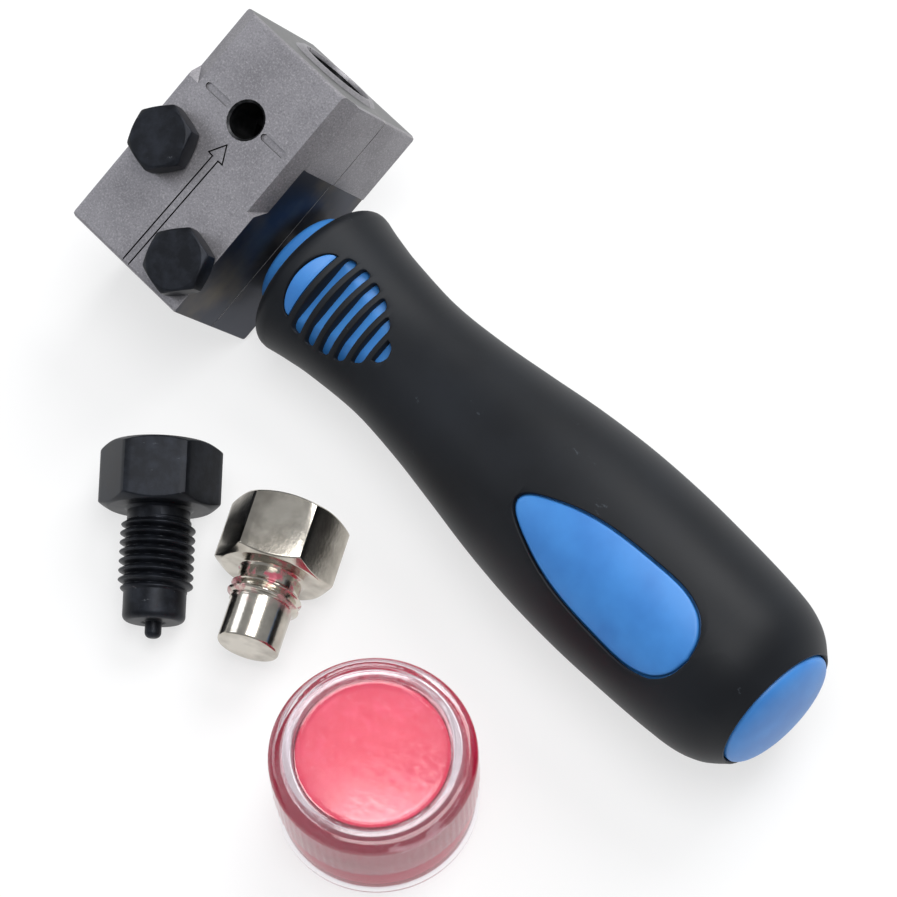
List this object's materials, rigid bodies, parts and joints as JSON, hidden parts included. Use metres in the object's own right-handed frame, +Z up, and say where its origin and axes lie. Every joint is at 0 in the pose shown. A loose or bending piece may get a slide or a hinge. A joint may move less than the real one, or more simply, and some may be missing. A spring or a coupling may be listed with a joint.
{
  "type": "brake pipe flaring tool",
  "caption": "Hand-held brake pipe flaring tool: a split steel clamping block on a rubber-covered handle, with its forming punch, stop screw and clear pot of grease lying beside it.",
  "frame": {"origin": "on the floor, under the centre of the whole kit's bounding box", "axes": "+X along the kit's length, from the clamping block to the handle's butt; +Y away from the loose pieces; +Z up from the floor on which everything lies"},
  "size_m": [0.1862, 0.1236, 0.0584],
  "materials": {
    "cast_steel": "fine cast and tumbled, one side milled",
    "black_oxide_steel": "black oxide with bright wear on the edges",
    "bare_steel": "ground",
    "nickel_plate": "bright plated",
    "blue_plastic": "moulded, half matt",
    "black_rubber": "moulded, fine grained",
    "clear_plastic": "clear, polished",
    "pink_grease": "smooth, wet"
  },
  "bodies": {
    "tool": {"rear_jaw": "cast_steel", "dowel_pin_upper": "bare_steel", "dowel_pin_lower": "bare_steel", "handle_shank": "bare_steel", "handle_core": "blue_plastic", "handle_grip": "black_rubber"},
    "front_jaw": {"front_jaw": "cast_steel"},
    "bolt_upper": {"clamp_bolt_upper": "black_oxide_steel"},
    "bolt_lower": {"clamp_bolt_lower": "black_oxide_steel"},
    "punch": {"forming_punch": "black_oxide_steel"},
    "stop": {"stop_screw": "nickel_plate"},
    "jar": {"grease_jar": "clear_plastic", "grease_fill": "pink_grease"},
    "lid": {"grease_lid": "clear_plastic"}
  },
  "joints": [
    {"name": "jaw_open", "type": "slide", "parent": "tool", "child": "front_jaw", "axis": [-0.0345, -0.419, 0.9073], "range_m": [0, 0.0025]},
    {"name": "bolt_upper_turn", "type": "hinge", "parent": "front_jaw", "child": "bolt_upper", "pos_m": [-0.08549, 0.01706, 0.0445], "axis": [-0.0345, -0.419, 0.9073], "range_deg": [-5, 725]},
    {"name": "bolt_lower_turn", "type": "hinge", "parent": "front_jaw", "child": "bolt_lower", "pos_m": [-0.06404, 0.00199, 0.03835], "axis": [-0.0345, -0.419, 0.9073], "range_deg": [-5, 725]},
    {"name": "punch_lift", "type": "slide", "parent": "tool", "child": "punch", "axis": [0, 0, 1], "range_m": [0, 0.05]},
    {"name": "stop_lift", "type": "slide", "parent": "tool", "child": "stop", "axis": [0, 0, 1], "range_m": [0, 0.05]},
    {"name": "pot_lift", "type": "slide", "parent": "tool", "child": "jar", "axis": [0, 0, 1], "range_m": [0, 0.05]},
    {"name": "lid_lift", "type": "slide", "parent": "jar", "child": "lid", "axis": [0, 0, 1], "range_m": [0, 0.03]}
  ],
  "couplings": [
    {"joint": "bolt_upper_turn", "follows": "jaw_open", "rad_per_m": 5026.5},
    {"joint": "bolt_lower_turn", "follows": "jaw_open", "rad_per_m": 5026.5}
  ]
}
